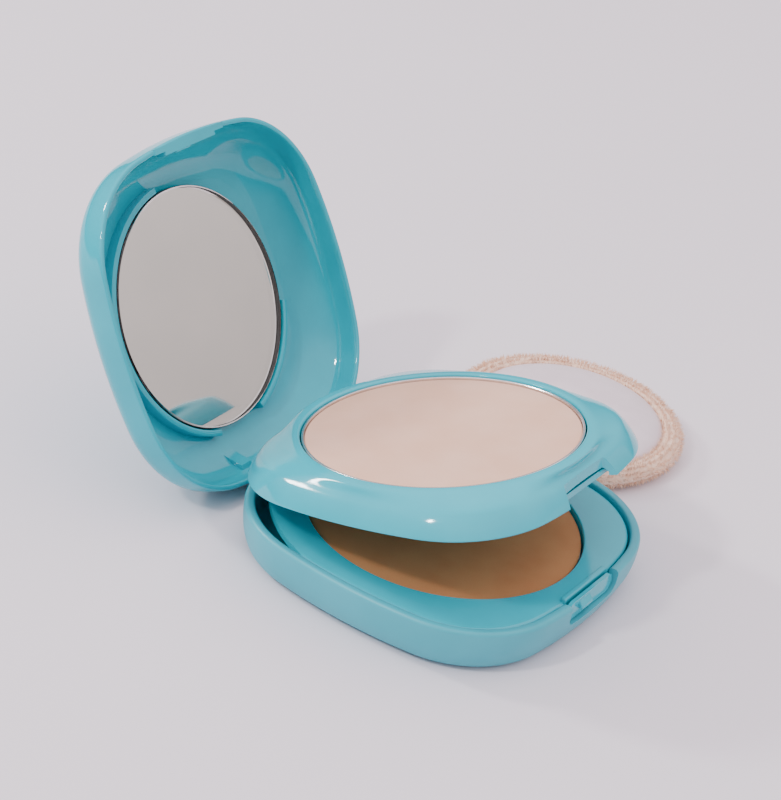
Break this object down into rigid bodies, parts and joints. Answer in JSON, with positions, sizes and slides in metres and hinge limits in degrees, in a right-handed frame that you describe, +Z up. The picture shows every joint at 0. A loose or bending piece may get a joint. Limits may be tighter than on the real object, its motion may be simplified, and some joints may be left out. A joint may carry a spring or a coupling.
{
  "type": "powder compact",
  "caption": "Two-level powder compact: base with a pan, hinged tray with a second pan, deep lid with a round mirror, push latch and a loose round puff.",
  "frame": {"origin": "centre of the base's flat underside", "axes": "+Z up, +Y to the hinge, -Y to the latch, +X to the side where the puff lies"},
  "size_m": [0.1344, 0.1227, 0.0676],
  "materials": {
    "teal_casing": "moulded, satin outside and glossy inside",
    "pan_aluminium": "bright drawn",
    "steel": "drawn wire",
    "pale_powder": "pressed powder, matt",
    "tan_powder": "pressed powder, matt",
    "glue": "dried hot melt and tape",
    "mirror_glass": "silvered, bevelled edge",
    "velour": "short pile",
    "foam": "open foam",
    "satin": "satin weave"
  },
  "bodies": {
    "base": {"base_shell": "teal_casing", "base_deck": "teal_casing", "lower_pan": "pan_aluminium", "lower_pan_glue": "glue", "lower_powder": "tan_powder", "hinge_pin_left": "steel", "hinge_pin_right": "steel", "latch_spring": "steel"},
    "latch": {"latch_button": "teal_casing"},
    "tray": {"tray_frame": "teal_casing", "tray_underplate": "teal_casing", "upper_pan": "pan_aluminium", "upper_pan_glue": "glue", "upper_powder": "pale_powder"},
    "lid": {"lid_shell": "teal_casing", "mirror": "mirror_glass", "mirror_tape": "glue"},
    "puff": {"puff_velour": "velour", "puff_foam": "foam", "puff_satin": "satin"}
  },
  "joints": [
    {"name": "tray_hinge", "type": "hinge", "parent": "base", "child": "tray", "pos_m": [0, 0.0366, 0.0064], "axis": [-1, 0, 0], "range_deg": [-14.35, 36]},
    {"name": "lid_hinge", "type": "hinge", "parent": "tray", "child": "lid", "pos_m": [0, 0.0366, 0.0064], "axis": [-1, 0, 0], "range_deg": [-106.52, 0]},
    {"name": "latch_press", "type": "slide", "parent": "base", "child": "latch", "axis": [0, 1, 0], "range_m": [0, 0.0005], "stiffness_N_per_m": 1500, "springref_m": -0.0008, "deforming": ["latch_spring"]},
    {"name": "puff_slide", "type": "slide", "parent": "base", "child": "puff", "axis": [1, 0, 0], "range_m": [0, 0.1]}
  ]
}
